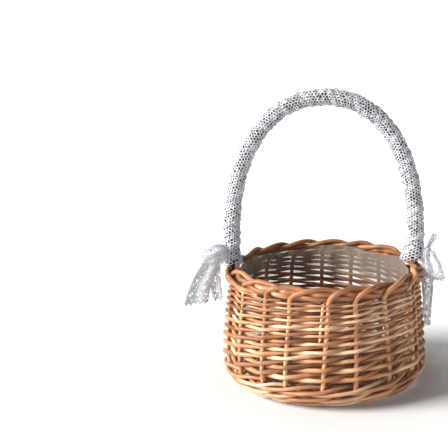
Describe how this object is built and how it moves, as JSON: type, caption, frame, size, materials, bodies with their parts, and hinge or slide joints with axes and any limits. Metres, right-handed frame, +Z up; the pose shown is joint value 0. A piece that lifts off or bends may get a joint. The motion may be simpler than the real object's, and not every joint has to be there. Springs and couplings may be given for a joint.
{
  "type": "flower girl basket",
  "caption": "Round woven willow basket with a rolled border, a clear film liner, and a tall fixed bow handle wound in white lace with a lace bow at each foot.",
  "frame": {"origin": "centre of the foot rod's flat underside, on the surface that the basket stands on", "axes": "+X from the left handle foot to the right one, +Y away from the viewer at the front, +Z up"},
  "size_m": [0.2583, 0.2046, 0.2898],
  "materials": {
    "stake_willow": "peeled and buffed willow, satin",
    "weaver_willow": "peeled and buffed willow, satin",
    "wale_willow": "peeled and buffed willow, satin",
    "base_willow": "peeled and buffed willow, satin",
    "handle_willow": "brown willow, satin",
    "liner_film": "clear creased film, gloss",
    "white_lace": "crochet lace, matt"
  },
  "bodies": {
    "root": {"stake_01": "stake_willow", "stake_02": "stake_willow", "stake_03": "stake_willow", "stake_04": "stake_willow", "stake_05": "stake_willow", "stake_06": "stake_willow", "stake_07": "stake_willow", "stake_08": "stake_willow", "stake_09": "stake_willow", "stake_10": "stake_willow", "stake_11": "stake_willow", "stake_12": "stake_willow", "stake_13": "stake_willow", "stake_14": "stake_willow", "stake_15": "stake_willow", "stake_16": "stake_willow", "stake_17": "stake_willow", "stake_18": "stake_willow", "weaver_01": "weaver_willow", "weaver_02": "weaver_willow", "weaver_03": "weaver_willow", "weaver_04": "weaver_willow", "weaver_05": "weaver_willow", "weaver_06": "weaver_willow", "weaver_07": "weaver_willow", "weaver_08": "weaver_willow", "weaver_09": "weaver_willow", "weaver_10": "weaver_willow", "weaver_11": "weaver_willow", "weaver_12": "weaver_willow", "weaver_13": "weaver_willow", "weaver_14": "weaver_willow", "weaver_15": "weaver_willow", "weaver_16": "weaver_willow", "weaver_17": "weaver_willow", "weaver_18": "weaver_willow", "wale_rod_1": "wale_willow", "wale_rod_2": "wale_willow", "wale_rod_3": "wale_willow", "foot_rod": "wale_willow", "pierced_base_sticks": "base_willow", "through_base_sticks": "base_willow", "base_weaver_1": "base_willow", "base_weaver_2": "base_willow", "bye_stake": "stake_willow", "film_liner": "liner_film", "handle_core": "handle_willow", "lace_wrap": "white_lace", "left_knot": "white_lace", "left_front_tail": "white_lace", "left_back_tail": "white_lace", "right_knot": "white_lace", "right_loop": "white_lace", "right_short_tail": "white_lace", "right_long_tail": "white_lace"}
  },
  "joints": []
}
